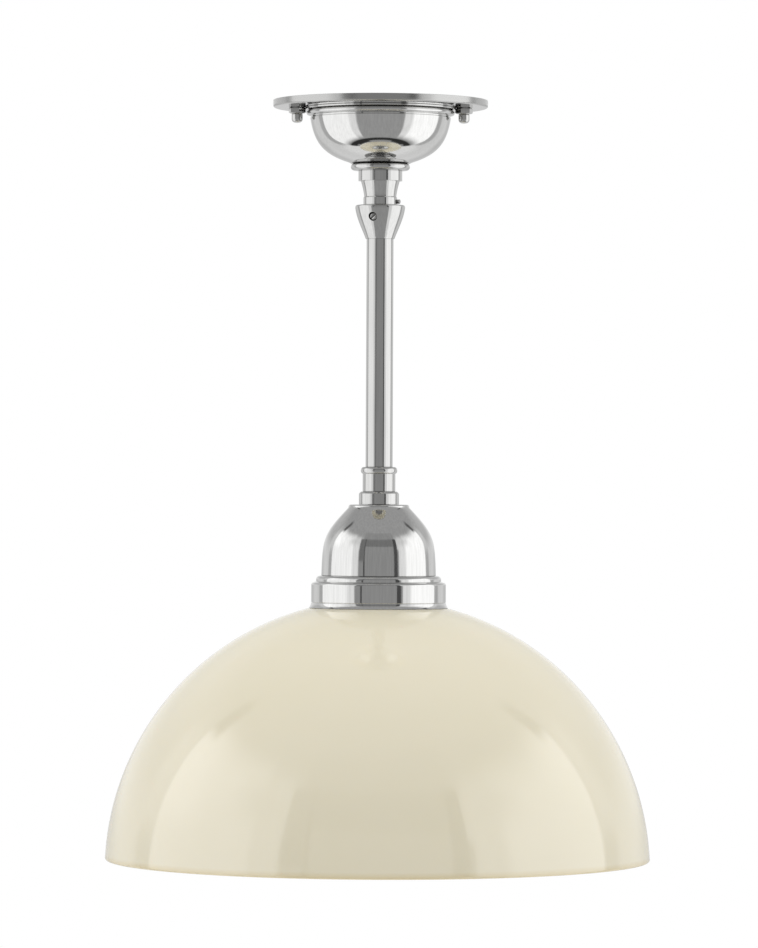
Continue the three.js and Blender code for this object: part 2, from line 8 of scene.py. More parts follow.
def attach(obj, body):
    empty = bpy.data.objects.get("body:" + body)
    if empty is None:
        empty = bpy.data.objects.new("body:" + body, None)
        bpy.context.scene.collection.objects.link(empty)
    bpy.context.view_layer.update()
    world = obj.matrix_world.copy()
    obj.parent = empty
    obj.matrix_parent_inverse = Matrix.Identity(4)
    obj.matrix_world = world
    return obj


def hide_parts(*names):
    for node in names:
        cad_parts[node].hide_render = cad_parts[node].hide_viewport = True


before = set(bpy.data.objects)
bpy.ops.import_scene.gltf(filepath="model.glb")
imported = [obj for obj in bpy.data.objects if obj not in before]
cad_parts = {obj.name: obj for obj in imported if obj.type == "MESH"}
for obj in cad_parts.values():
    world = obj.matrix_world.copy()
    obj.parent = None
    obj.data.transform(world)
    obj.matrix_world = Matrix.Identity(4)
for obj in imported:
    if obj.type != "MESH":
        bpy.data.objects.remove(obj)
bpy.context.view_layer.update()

# Camera.
# The lamp is seen level with the lower half of its stem, from about ten shade widths away,
# so the rose shows a little of its underside and the shade a little of its top.
camera_distance = 2.441
camera_height = -0.1765
camera_lens = 201.9
camera_pitch = 0.119
camera_roll = -0.25

bpy.ops.object.select_all(action="DESELECT")
bpy.ops.object.camera_add(
    location=(0, -camera_distance, camera_height),
    rotation=(math.radians(90 + camera_pitch), math.radians(camera_roll), 0),
)
camera = bpy.context.object
camera.name = "photo_camera"
camera.data.lens = camera_lens
bpy.context.scene.camera = camera
bpy.context.scene.view_settings.view_transform = "Standard"

# Mounting strap.
# Pressed from 2 mm steel strip and zinc plated. Two screws through its slots hold it on the
# ceiling, and the studs in its ends carry the plate.
mm = 0.001
strap_thickness = 2
strap_width = 14
strap_length = 90
slot_centre = 22
slot_reach = 4
slot_radius = 2.3
stud_place = 38.3
stud_hole = 2.2


def from_hex(colour):
    """Turn an sRGB hex colour into the linear colour that a shader takes."""
    channels = [int(colour[i:i + 2], 16) / 255 for i in (1, 3, 5)]
    return [c / 12.92 if c <= 0.04045 else ((c + 0.055) / 1.055) ** 2.4 for c in channels] + [1.0]


def add_node(tree, kind, inputs=(), **settings):
    """Add a shader node. Its inputs are given by name or number, as values or as outputs that feed them."""
    made = tree.nodes.new("ShaderNode" + kind)
    for name, value in settings.items():
        setattr(made, name, value)
    for name, value in dict(inputs).items():
        if isinstance(value, bpy.types.NodeSocket):
            tree.links.new(value, made.inputs[name])
        else:
            made.inputs[name].default_value = value
    return made


def wired(material, **inputs):
    """Give a material's shader its inputs, as values or as the outputs that feed them."""
    tree = material.node_tree
    for name, value in inputs.items():
        socket = tree.nodes["Principled BSDF"].inputs[name.replace("_", " ")]
        if isinstance(value, bpy.types.NodeSocket):
            tree.links.new(value, socket)
        else:
            socket.default_value = value
    return material


def new_material(name, **uniform):
    """Start a material, and return it with its tree and the object's own coordinates."""
    material = bpy.data.materials.new(name)
    material.use_nodes = True
    wired(material, **uniform)
    tree = material.node_tree
    return material, tree, add_node(tree, "TexCoord").outputs["Object"]


def zinc_plated_steel():
    """Steel, barrel zinc plated and passivated: a crystalline grey with a faint blue and straw bloom."""
    crystal = 0.8 * mm
    bloom_patch = 7 * mm
    material, tree, place = new_material("zinc_plated_steel", Metallic=1.0)
    bloom = add_node(tree, "TexNoise", {"Vector": place, "Scale": 1 / bloom_patch, "Detail": 3.0})
    tint = add_node(tree, "ValToRGB", {0: bloom.outputs["Fac"]})
    tint.color_ramp.elements[0].position = 0.35
    tint.color_ramp.elements[0].color = from_hex("#BDC4CB")
    tint.color_ramp.elements[1].position = 0.68
    tint.color_ramp.elements[1].color = from_hex("#C9C5B4")
    grain = add_node(tree, "TexVoronoi", {"Vector": place, "Scale": 1 / crystal})
    rough = add_node(tree, "MapRange", {
        "Value": grain.outputs["Distance"], "From Max": 0.8, "To Min": 0.3, "To Max": 0.44,
    })
    bump = add_node(tree, "Bump", {
        "Height": grain.outputs["Distance"], "Strength": 0.2, "Distance": 0.03 * mm,
    })
    return wired(material, Base_Color=tint.outputs[0], Roughness=rough.outputs[0], Normal=bump.outputs[0])


def take(piece):
    """Select one piece and nothing else."""
    bpy.ops.object.select_all(action="DESELECT")
    piece.select_set(True)
    bpy.context.view_layer.objects.active = piece


def named(piece, name):
    """Name a new piece, and put its place in its mesh."""
    piece.name = name
    piece.data.name = name
    take(piece)
    bpy.ops.object.transform_apply(location=True, rotation=True, scale=True)
    return piece


def placed(piece, x=0.0, y=0.0, z=0.0, turn=(0, 0, 0)):
    """Turn a piece by degrees and move it by millimetres, all in its mesh."""
    piece.rotation_euler = [math.radians(angle) for angle in turn]
    piece.location = (x * mm, y * mm, z * mm)
    return named(piece, piece.name)


def apply_modifier(piece, kind, **settings):
    """Give a piece one modifier and apply it."""
    take(piece)
    modifier = piece.modifiers.new(kind.lower(), kind)
    for name, value in settings.items():
        setattr(modifier, name, value)
    bpy.ops.object.modifier_apply(modifier=modifier.name)


def combined(piece, operation, *others):
    """Cut other pieces out of a piece, add them to it, or keep what it shares with them. The others go."""
    for other in others:
        apply_modifier(piece, "BOOLEAN", object=other, operation=operation, solver="EXACT")
        bpy.data.objects.remove(other)
    return piece


def stadium(name, centre, reach, radius, low, high):
    """A flat bar with round ends, or a plain round one if it has no reach."""
    bpy.ops.object.select_all(action="DESELECT")
    bpy.ops.mesh.primitive_circle_add(vertices=62, radius=radius * mm, fill_type="NGON")
    piece = named(bpy.context.object, name)
    for side in (-1, 1):
        bpy.ops.object.mode_set(mode="EDIT")
        bpy.ops.mesh.select_all(action="DESELECT")
        bpy.ops.object.mode_set(mode="OBJECT")
        for vertex in piece.data.vertices:
            vertex.select = vertex.co.x * side > 0
        bpy.ops.object.mode_set(mode="EDIT")
        bpy.ops.transform.translate(value=(side * reach * mm, 0, 0))
        bpy.ops.object.mode_set(mode="OBJECT")
    bpy.ops.object.mode_set(mode="EDIT")
    bpy.ops.mesh.select_all(action="SELECT")
    bpy.ops.mesh.extrude_region_move(TRANSFORM_OT_translate={"value": (0, 0, (high - low) * mm)})
    bpy.ops.mesh.select_all(action="SELECT")
    bpy.ops.mesh.normals_make_consistent(inside=False)
    bpy.ops.object.mode_set(mode="OBJECT")
    return placed(piece, centre, 0, low)


def finished(piece, material, slot, body, *nodes, edge=0.25, corner=30, segments=3):
    """Round the crisp edges, smooth the shading, dress the piece and tie it to its body and its solids."""
    if edge:
        apply_modifier(
            piece, "BEVEL", width=edge * mm, segments=segments, limit_method="ANGLE",
            angle_limit=math.radians(corner), use_clamp_overlap=True,
        )
    take(piece)
    bpy.ops.object.shade_smooth_by_angle(angle=math.radians(corner))
    apply_modifier(piece, "WEIGHTED_NORMAL", keep_sharp=True)
    piece.data.materials.clear()
    piece.data.materials.append(material)
    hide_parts(*nodes)
    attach(piece, body)
    return piece


zinc = zinc_plated_steel()
strap = stadium("pressed_strap", 0, (strap_length - strap_width) / 2, strap_width / 2, -strap_thickness, 0)
for side in (-1, 1):
    combined(
        strap, "DIFFERENCE",
        stadium("stud_hole", side * stud_place, 0, stud_hole, -strap_thickness - 1, 1),
        stadium("screw_slot", side * slot_centre, slot_reach, slot_radius, -strap_thickness - 1, 1),
    )
finished(strap, zinc, "zinc_steel", "ceiling_rose", "mounting_strap", edge=0.3)

# Studs.
# Two M4 steel studs with a rolled thread, zinc plated and riveted in the strap. They go down
# through the plate into the cap nuts.
stud_radius = 1.95
stud_root = 1.62
stud_length = 8.2
stud_pitch = 0.7


def turned(name, outline, datum=0.0, steps=128):
    """Turn a closed outline of radius and height, in millimetres from the datum, round the lamp's axis."""
    places = [Vector((radius * mm, 0, (datum + height) * mm)) for radius, height in outline]
    bpy.ops.object.select_all(action="DESELECT")
    bpy.ops.mesh.primitive_plane_add(size=mm, location=places[0])
    piece = named(bpy.context.object, name)
    bpy.ops.object.mode_set(mode="EDIT")
    bpy.ops.mesh.select_all(action="SELECT")
    bpy.ops.mesh.merge(type="CENTER")
    for before, place in zip(places, places[1:] + places[:1]):
        bpy.ops.mesh.extrude_region_move(TRANSFORM_OT_translate={"value": place - before})
    bpy.ops.mesh.select_all(action="SELECT")
    bpy.ops.mesh.remove_doubles(threshold=0.002 * mm)
    bpy.ops.mesh.spin(steps=steps, angle=math.tau, center=(0, 0, 0), axis=(0, 0, 1))
    bpy.ops.mesh.select_all(action="SELECT")
    bpy.ops.mesh.remove_doubles(threshold=0.002 * mm)
    bpy.ops.mesh.normals_make_consistent(inside=False)
    bpy.ops.object.mode_set(mode="OBJECT")
    return piece


def rows(radius, top, bottom, step):
    """The points of a straight wall, close enough together to take a thread."""
    count = math.ceil(abs(top - bottom) / step)
    return [(radius, top + (bottom - top) * i / count) for i in range(count + 1)]


def thread_on(piece, root, depth, pitch, top, bottom, fade):
    """Raise a right-handed rolled thread on the wall of a turned piece. It fades at both its ends."""
    for vertex in piece.data.vertices:
        x, y, z = vertex.co / mm
        distance = math.hypot(x, y)
        if abs(distance - root) < 0.02 and bottom <= z <= top:
            strength = min(1, (top - z) / fade, (z - bottom) / fade)
            wave = 0.5 + 0.5 * math.cos(math.tau * z / pitch - math.atan2(y, x))
            vertex.co.xy *= (root + depth * strength * wave) / root
    return piece


def copied(piece, name):
    """Another piece of the same shape, with its own mesh."""
    take(piece)
    bpy.ops.object.duplicate(linked=False)
    return named(bpy.context.object, name)


first_stud = turned("threaded_stud_left", [
    (0, 0), (stud_root - 0.3, 0), (stud_root, -0.3),
    *rows(stud_root, -0.4, -stud_length + 0.4, stud_pitch / 8),
    (stud_root, -stud_length + 0.3), (stud_root - 0.3, -stud_length), (0, -stud_length),
], steps=40)
thread_on(first_stud, stud_root, stud_radius - stud_root, stud_pitch, -0.4, -stud_length + 0.4, stud_pitch)
second_stud = copied(first_stud, "threaded_stud_right")
placed(first_stud, -stud_place)
placed(second_stud, stud_place)
finished(first_stud, zinc, "zinc_steel", "ceiling_rose", "stud_left", edge=0, corner=60)
finished(second_stud, zinc, "zinc_steel", "ceiling_rose", "stud_right", edge=0, corner=60)

# Terminal block.
# Moulded in white polyamide, with three poles. A wire hole goes through each pole, and its
# screw comes in from below. It sits under the strap, where the supply wires arrive.
block_top = -2.1
block_width = 17
block_height = 10.8
block_length = 32
block_shoulder = 5.94
pole_pitch = 10
wire_hole = 1.6
wire_drop = 4.6
screw_way_radius = 1.9
screw_way_depth = 5
groove_width = 1.2
groove_depth = 0.8
cutter = 20


def moulded_polyamide():
    """Polyamide from a spark-eroded mould: off-white, a little translucent, with a fine even grain."""
    mould_grain = 0.25 * mm
    flow_mark = 12 * mm
    material, tree, place = new_material(
        "moulded_polyamide", IOR=1.53, Subsurface_Weight=0.15, Subsurface_Radius=(1.0, 0.9, 0.75),
        Subsurface_Scale=1.2 * mm,
    )
    flow = add_node(tree, "TexNoise", {"Vector": place, "Scale": 1 / flow_mark, "Detail": 2.0})
    tint = add_node(tree, "Mix", {
        0: flow.outputs["Fac"], 6: from_hex("#EDEBE2"), 7: from_hex("#F3F1EA"),
    }, data_type="RGBA")
    grain = add_node(tree, "TexNoise", {"Vector": place, "Scale": 1 / mould_grain, "Detail": 2.0})
    rough = add_node(tree, "MapRange", {"Value": grain.outputs["Fac"], "To Min": 0.38, "To Max": 0.56})
    bump = add_node(tree, "Bump", {"Height": grain.outputs["Fac"], "Strength": 0.25, "Distance": 0.02 * mm})
    return wired(material, Base_Color=tint.outputs[2], Roughness=rough.outputs[0], Normal=bump.outputs[0])


bpy.ops.object.select_all(action="DESELECT")
bpy.ops.mesh.primitive_cube_add(
    size=1, location=(0, 0, (block_top - block_height / 2) * mm),
    scale=(block_length * mm, block_width * mm, block_height * mm),
)
block = named(bpy.context.object, "three_pole_block")
block_foot = block_top - block_height
chamfers = []
for side in (-1, 1):
    drop = block_height - block_shoulder
    reach = block_width / 4
    bpy.ops.mesh.primitive_cube_add(size=1, scale=(2 * cutter * mm, cutter * mm, cutter * mm))
    chamfer = named(bpy.context.object, "chamfer")
    slope = math.degrees(math.atan2(drop, reach))
    outward = Vector((0, side * drop, -reach)).normalized() * cutter / 2
    placed(
        chamfer, 0, side * (block_width / 4 + reach / 2) + outward.y,
        block_foot + drop / 2 + outward.z, turn=(side * slope, 0, 0),
    )
    chamfers.append(chamfer)
combined(block, "DIFFERENCE", *chamfers)
for x in (-pole_pitch, 0, pole_pitch):
    wire_way = stadium("wire_way", 0, 0, wire_hole, -block_width, block_width)
    placed(wire_way, x, 0, block_top - wire_drop, turn=(90, 0, 0))
    screw_way = stadium("screw_way", x, 0, screw_way_radius, block_foot - 1, block_foot + screw_way_depth)
    combined(block, "DIFFERENCE", wire_way, screw_way)
for x in (-pole_pitch / 2, pole_pitch / 2):
    bpy.ops.mesh.primitive_cube_add(size=1, scale=(groove_width * mm, 30 * mm, 2 * groove_depth * mm))
    groove = placed(named(bpy.context.object, "groove"), x, 0, block_foot)
    combined(block, "DIFFERENCE", groove)
finished(block, moulded_polyamide(), "white_plastic", "ceiling_rose", "terminal_block", edge=0.35, corner=35)

# Terminal screws.
# Slotted brass grub screws, M3, turned from bar and left bare. Each one clamps a wire in its pole.
terminal_screw_radius = 1.6
terminal_screw_length = 3.6
terminal_screw_foot = block_top - 7


def turned_brass():
    """Brass bar turned on a lathe: warm yellow, fine tool rings, and a dull brown bloom from handling."""
    tool_ring = 0.12 * mm
    bloom_patch = 5 * mm
    material, tree, place = new_material("turned_brass", Metallic=1.0)
    bloom = add_node(tree, "TexNoise", {"Vector": place, "Scale": 1 / bloom_patch, "Detail": 4.0})
    tint = add_node(tree, "Mix", {
        0: bloom.outputs["Fac"], 6: from_hex("#D9B460"), 7: from_hex("#BD9444"),
    }, data_type="RGBA")
    rough = add_node(tree, "MapRange", {"Value": bloom.outputs["Fac"], "To Min": 0.22, "To Max": 0.42})
    ring_map = add_node(tree, "Mapping", {"Vector": place, "Scale": (0.05, 0.05, 1)})
    rings = add_node(tree, "TexNoise", {"Vector": ring_map.outputs[0], "Scale": 1 / tool_ring})
    bump = add_node(tree, "Bump", {"Height": rings.outputs["Fac"], "Strength": 0.3, "Distance": 0.01 * mm})
    return wired(material, Base_Color=tint.outputs[2], Roughness=rough.outputs[0], Normal=bump.outputs[0])


def slotted_screw(name, radius, length, slot_width, slot_depth):
    """A headless screw from height 0 up, with a chamfer and a driver slot across its upper end."""
    chamfer = radius * 0.18
    screw = turned(name, [
        (0, 0), (radius - chamfer, 0), (radius, chamfer), (radius, length - chamfer),
        (radius - chamfer, length), (0, length),
    ], steps=48)
    bpy.ops.mesh.primitive_cube_add(size=1, scale=(4 * radius * mm, slot_width * mm, 2 * slot_depth * mm))
    slot = placed(named(bpy.context.object, "driver_slot"), 0, 0, length)
    return combined(screw, "DIFFERENCE", slot)


brass = turned_brass()
clamp_screw = slotted_screw(
    "clamp_screw_earth", terminal_screw_radius, terminal_screw_length, slot_width=0.6, slot_depth=1.1,
)
placed(clamp_screw, 0, 0, terminal_screw_foot, turn=(180, 0, 0))
for side, pole in ((-1, "live"), (1, "neutral")):
    other_screw = placed(copied(clamp_screw, "clamp_screw_" + pole), side * pole_pitch)
    finished(other_screw, brass, "bare_brass", "ceiling_rose", "terminal_screw_" + pole, edge=0.06)
finished(clamp_screw, brass, "bare_brass", "ceiling_rose", "terminal_screw_earth", edge=0.06)

# Leads at the rose.
# Stranded copper in PVC sheaths: brown for live, blue for neutral, green and yellow for earth.
# They leave the cable's upper end, bend round under the block and go into its wire holes.
cable_top = -20.4
lead_radius = 0.95
lead_spread = 1.3


def extruded_sheath(name, colour, second_colour=None):
    """PVC drawn over the wire: satin, with faint lines in it. An earth lead has stripes of a second colour."""
    die_line = 0.3 * mm
    stripe = 2.6 * mm
    material, tree, place = new_material(name, IOR=1.53)
    lines = add_node(tree, "TexNoise", {"Vector": place, "Scale": 1 / die_line, "Detail": 2.0})
    shade = add_node(tree, "Mix", {
        0: lines.outputs["Fac"], 6: from_hex(colour), 7: [0.86 * c for c in from_hex(colour)[:3]] + [1],
    }, data_type="RGBA")
    if second_colour:
        bands = add_node(tree, "TexWave", {"Vector": place, "Scale": 0.31 / stripe})
        edge = add_node(tree, "MapRange", {"Value": bands.outputs["Fac"], "From Min": 0.47, "From Max": 0.53})
        shade = add_node(tree, "Mix", {
            0: edge.outputs[0], 6: shade.outputs[2], 7: from_hex(second_colour),
        }, data_type="RGBA")
    rough = add_node(tree, "MapRange", {"Value": lines.outputs["Fac"], "To Min": 0.36, "To Max": 0.5})
    return wired(material, Base_Color=shade.outputs[2], Roughness=rough.outputs[0])


def sheathed_lead(name, route, radius):
    """A round lead along a smooth route of points in millimetres, with closed ends."""
    bpy.ops.object.select_all(action="DESELECT")
    bpy.ops.curve.primitive_bezier_curve_add()
    piece = bpy.context.object
    spline = piece.data.splines[0]
    spline.bezier_points.add(len(route) - 2)
    for point, place in zip(spline.bezier_points, route):
        point.co = Vector(place) * mm
        point.handle_left_type = "AUTO"
        point.handle_right_type = "AUTO"
    spline.resolution_u = 10
    piece.data.bevel_depth = radius * mm
    piece.data.bevel_resolution = 6
    piece.data.use_fill_caps = True
    bpy.ops.object.convert(target="MESH")
    return named(bpy.context.object, name)


brown = extruded_sheath("brown_pvc_sheath", "#6A3F22")
blue = extruded_sheath("blue_pvc_sheath", "#2A63B4")
earth = extruded_sheath("earth_pvc_sheath", "#3F9A3A", "#E8D43A")
for order, pole, sheath, slot in (
    (-1, "live", brown, "brown_sheath"),
    (0, "earth", earth, "earth_sheath"),
    (1, "neutral", blue, "blue_sheath"),
):
    angle = order * math.tau / 3 - math.pi / 2
    x = order * pole_pitch
    start_x = lead_spread * math.cos(angle)
    start_y = lead_spread * math.sin(angle)
    rose_lead = sheathed_lead("sheathed_lead_" + pole, [
        (start_x, start_y, cable_top + 0.3),
        (start_x, start_y, cable_top + 1.6),
        (start_x + x * 0.4, start_y - 3, cable_top + 3.6),
        (x, -12.5, cable_top + 6.5),
        (x, -14.5, block_top - 7),
        (x, -11, block_top - wire_drop),
        (x, -8.8, block_top - wire_drop),
    ], lead_radius)
    finished(rose_lead, sheath, slot, "ceiling_rose", "rose_lead_" + pole, edge=0, corner=60)

# Supply cable.
# Round three-core cable in white PVC. It stays with the rose and hangs inside the stem, which
# turns round it.
cable_bottom = -199.5
cable_radius = 3

cable = turned("round_cable", [
    (0, cable_top), (cable_radius - 0.3, cable_top), (cable_radius, cable_top - 0.3),
    (cable_radius, cable_bottom + 0.3), (cable_radius - 0.3, cable_bottom), (0, cable_bottom),
], steps=40)
white_sheath = extruded_sheath("white_pvc_sheath", "#ECEBE6")
finished(cable, white_sheath, "white_sheath", "ceiling_rose", "supply_cable", edge=0)

# Canopy plate.
# A shallow tray spun from brass sheet, polished and nickel plated. Its rim stands against the
# ceiling, and the bowl is soldered into the large opening in its floor.
plate_radius = 49.3
plate_depth = 3.35
plate_wall = 1.3
plate_opening = 30.2
sheet = 1.2


def polished_nickel(name, streak_colour, colour, satin_shade_from=1000):
    """Nickel plate over brass, buffed to a mirror: it shows the studio sharply. The buffing wheel ran up
    and down, which leaves faint upright streaks, and handling leaves a thin haze here and there. Corners
    that an ambient occlusion node finds are painted dark grey: painted shade, which also stands for the
    polish and tarnish left where a wheel doesn't reach. An edge that lies further out than the last
    argument, in millimetres, was only brushed, so it is rougher; there its colour is also painted a
    duller grey, as painted shade."""
    corner_shade_reach = 0.9 * mm
    buffing_streak = 0.8 * mm
    tool_ring = 0.35 * mm
    spinning_wave = 9 * mm
    haze_patch = 14 * mm
    material, tree, place = new_material(name, Metallic=1.0)
    upright = add_node(tree, "Mapping", {"Vector": place, "Scale": (1, 1, 0.03)})
    streaks = add_node(tree, "TexNoise", {
        "Vector": upright.outputs[0], "Scale": 1 / buffing_streak, "Detail": 2.0,
    })
    round_map = add_node(tree, "Mapping", {"Vector": place, "Scale": (0.06, 0.06, 1)})
    rings = add_node(tree, "TexNoise", {
        "Vector": round_map.outputs[0], "Scale": 1 / tool_ring, "Detail": 2.0,
    })
    waves = add_node(tree, "TexNoise", {"Vector": place, "Scale": 1 / spinning_wave, "Detail": 1.0})
    haze = add_node(tree, "TexNoise", {"Vector": place, "Scale": 1 / haze_patch, "Detail": 4.0})
    streaked = add_node(tree, "MapRange", {"Value": streaks.outputs["Fac"], "From Min": 0.3, "From Max": 0.7})
    tint = add_node(tree, "Mix", {
        0: streaked.outputs[0], 6: from_hex(streak_colour), 7: from_hex(colour),
    }, data_type="RGBA")
    flat = add_node(tree, "VectorMath", {0: place, 1: (1, 1, 0)}, operation="MULTIPLY")
    reach = add_node(tree, "VectorMath", {0: flat.outputs[0]}, operation="LENGTH")
    satin_and_shade = add_node(tree, "MapRange", {
        "Value": reach.outputs["Value"], "From Min": (satin_shade_from - 0.2) * mm, "From Max": satin_shade_from * mm,
    })
    # Painted shade: past that radius the colour is mixed to a duller grey, beside the real rise in roughness.
    dulled_and_shaded = add_node(tree, "Mix", {
        0: satin_and_shade.outputs[0], 6: tint.outputs[2], 7: from_hex("#AEAEAD"),
    }, data_type="RGBA")
    # Painted shade: the corners that the ambient occlusion finds are mixed towards dark grey, which also
    # stands for polish and tarnish left in them.
    open_air = add_node(tree, "AmbientOcclusion", {"Distance": corner_shade_reach}, samples=8)
    painted_corner_shade = add_node(tree, "MapRange", {
        "Value": open_air.outputs["AO"], "From Min": 0.3, "From Max": 0.8, "To Min": 0.85, "To Max": 0.0,
    })
    corner_shaded = add_node(tree, "Mix", {
        0: painted_corner_shade.outputs[0], 6: dulled_and_shaded.outputs[2], 7: from_hex("#4E4C49"),
    }, data_type="RGBA")
    rough = add_node(tree, "MapRange", {
        "Value": haze.outputs["Fac"], "From Min": 0.35, "From Max": 0.75, "To Min": 0.045, "To Max": 0.1,
    })
    wave_bump = add_node(tree, "Bump", {
        "Height": waves.outputs["Fac"], "Strength": 0.35, "Distance": 0.05 * mm,
    })
    ring_bump = add_node(tree, "Bump", {
        "Height": rings.outputs["Fac"], "Strength": 0.1, "Distance": 0.01 * mm,
        "Normal": wave_bump.outputs[0],
    })
    streak_bump = add_node(tree, "Bump", {
        "Height": streaks.outputs["Fac"], "Strength": 0.15, "Distance": 0.01 * mm,
        "Normal": ring_bump.outputs[0],
    })
    rougher = add_node(tree, "Mix", {0: satin_and_shade.outputs[0], 2: rough.outputs[0], 3: 0.2})
    return wired(
        material, Base_Color=corner_shaded.outputs[2], Roughness=rougher.outputs[0], Normal=streak_bump.outputs[0],
    )


def curve(start, pull, push, end, steps):
    """The points of a cubic curve after its start, as radius and height."""
    corners = [Vector((radius, 0, height)) for radius, height in (start, pull, push, end)]
    return [(p.x, p.z) for p in interpolate_bezier(*corners, steps + 1)[1:]]


nickel = polished_nickel("polished_nickel", "#C4C4C3", "#CECECD")
plate = turned("ceiling_plate", [
    (plate_opening, -plate_depth),
    (plate_radius - 1.1, -plate_depth),
    *curve(
        (plate_radius - 1.1, -plate_depth), (plate_radius - 0.4, -plate_depth),
        (plate_radius, -plate_depth + 0.3), (plate_radius, -plate_depth + 1), 6,
    ),
    (plate_radius, 0),
    (plate_radius - plate_wall, 0),
    (plate_radius - plate_wall, -plate_depth + sheet),
    (plate_opening, -plate_depth + sheet),
], steps=192)
for side in (-1, 1):
    combined(plate, "DIFFERENCE", stadium("stud_way", side * stud_place, 0, stud_radius + 0.4, -6, 2))
# The plate's rim gets the satin edge: rougher, and painted a duller grey as painted shade.
edged_nickel = polished_nickel(
    "polished_nickel_with_satin_shaded_edge", "#C4C4C3", "#CECECD", satin_shade_from=plate_radius - 0.2,
)
finished(plate, edged_nickel, "polished_nickel", "ceiling_rose", "canopy_plate", edge=0.2)

# Canopy bowl.
# Spun from the same sheet. Its top has a flange soldered under the plate, a rolled bead and a
# groove, and the neck is screwed through its flat bottom. It hides the wires.
flange = 34.6
bowl_bottom = -28.9
bowl_side = ((32.35, -8.1), (30.4, -19.7), (26.2, -24.7), (14.5, -28.4))
bowl_inside = ((31.15, -8.6), (29.3, -19), (25.4, -23.6), (14, -27.2))

bowl = turned("spun_bowl", [
    (31, -plate_depth),
    (flange, -plate_depth),
    (flange, -4.15),
    (33.5, -4.5),
    (33.2, -4.75),
    *curve((33.2, -4.75), (34.3, -4.9), (34.3, -6.6), (33.2, -6.75), 12),
    (32.7, -6.95),
    (32.15, -7.25),
    (32.15, -7.85),
    bowl_side[0],
    *curve(*bowl_side, 28),
    (13.6, bowl_bottom),
    (5.2, bowl_bottom),
    (5.2, bowl_bottom + sheet),
    (13.4, bowl_bottom + sheet),
    bowl_inside[3],
    *curve(*reversed(bowl_inside), 20),
    (31, -8.4),
], steps=160)
finished(bowl, nickel, "polished_nickel", "ceiling_rose", "canopy_bowl", edge=0.12)

# Cap nuts.
# Domed M4 nuts turned from brass bar and nickel plated: a low hexagon and a slim rounded cap.
# They screw up on the studs and press the plate against the ceiling.
nut_hexagon = 2.6
nut_flats = 7
cap_radius = 2.55
cap_end = 7
bore_end = 8.6
left_nut_turn = 14
right_nut_turn = 38


def hexagon(name, across_flats, high, low, bore=0.0):
    """A hexagon with turned chamfers on its corners, and a bore if it has one."""
    across_corners = across_flats / math.cos(math.pi / 6)
    middle = (high + low) / 2
    bpy.ops.object.select_all(action="DESELECT")
    bpy.ops.mesh.primitive_cylinder_add(
        vertices=6, radius=across_corners / 2 * mm, depth=(high - low) * mm, location=(0, 0, middle * mm),
    )
    piece = named(bpy.context.object, name)
    relief = (across_corners - across_flats) * 0.35
    waist = across_corners / 2 + 1
    cone = turned("chamfer_cone", [
        (0, high), (across_flats / 2 * 0.97, high), (waist, high - relief * 2.4),
        (waist, low + relief * 2.4), (across_flats / 2 * 0.97, low), (0, low),
    ], steps=72)
    combined(piece, "INTERSECT", cone)
    if bore:
        combined(piece, "DIFFERENCE", stadium("bore", 0, 0, bore, low - 1, high + 1))
    return piece


cap_nut = hexagon("domed_nut_left", nut_flats, -plate_depth, -plate_depth - nut_hexagon)
cap = turned("nut_cap", [
    (0, -1.2), (2.6, -1.2), (2.6, -nut_hexagon - 0.1), (2.35, -nut_hexagon - 0.35),
    (cap_radius, -nut_hexagon - 0.6), (cap_radius, -nut_hexagon - 2.3),
    *curve((cap_radius, -4.9), (cap_radius, -6.3), (1.9, -cap_end), (0, -cap_end), 12),
], datum=-plate_depth, steps=64)
combined(cap_nut, "UNION", cap)
combined(cap_nut, "DIFFERENCE", stadium("stud_bore", 0, 0, stud_radius + 0.12, -bore_end, 0))
other_nut = placed(copied(cap_nut, "domed_nut_right"), stud_place, turn=(0, 0, right_nut_turn))
placed(cap_nut, -stud_place, turn=(0, 0, left_nut_turn))
bar_nickel = polished_nickel("nickel_on_turned_bar", "#B8B8B7", "#C2C2C1")
finished(cap_nut, bar_nickel, "polished_nickel", "ceiling_rose", "cap_nut_left", edge=0.12)
finished(other_nut, bar_nickel, "polished_nickel", "ceiling_rose", "cap_nut_right", edge=0.12)

# Neck.
# Turned from brass bar and nickel plated: a rolled bead under the bowl, a plain band, a taper
# and an end ring. A threaded stub goes up through the bowl, and the stem screws in from below.
neck_length = 18.9
bead = 1.6
lock_screw_drop = 17.5
lock_screw_radius = 1.0

neck = turned("turned_neck", [
    (3.6, 6.4),
    (5, 6.4),
    (5, 0),
    (11.2, -0.25),
    (11.6, -0.1),
    *[(12 + bead * math.sin(a), bead * math.cos(a) - bead) for a in [i * math.pi / 12 for i in range(1, 12)]],
    (12, -2 * bead),
    (10.1, -3.4),
    (10.1, -8),
    (8.9, -8.1),
    *curve((8.9, -8.1), (8.4, -10), (7.75, -11.8), (7.4, -15.2), 12),
    (7.76, -15.7),
    (7.76, -neck_length),
    (5.3, -neck_length),
    (5.3, -9.1),
    (3.6, -8.1),
], datum=bowl_bottom)
screw_way = stadium("lock_screw_way", 0, 0, lock_screw_radius + 0.12, 2, 14)
placed(screw_way, 0, 0, bowl_bottom - lock_screw_drop, turn=(0, 90, 0))
combined(neck, "DIFFERENCE", screw_way)
finished(neck, bar_nickel, "polished_nickel", "ceiling_rose", "neck", edge=0.12)

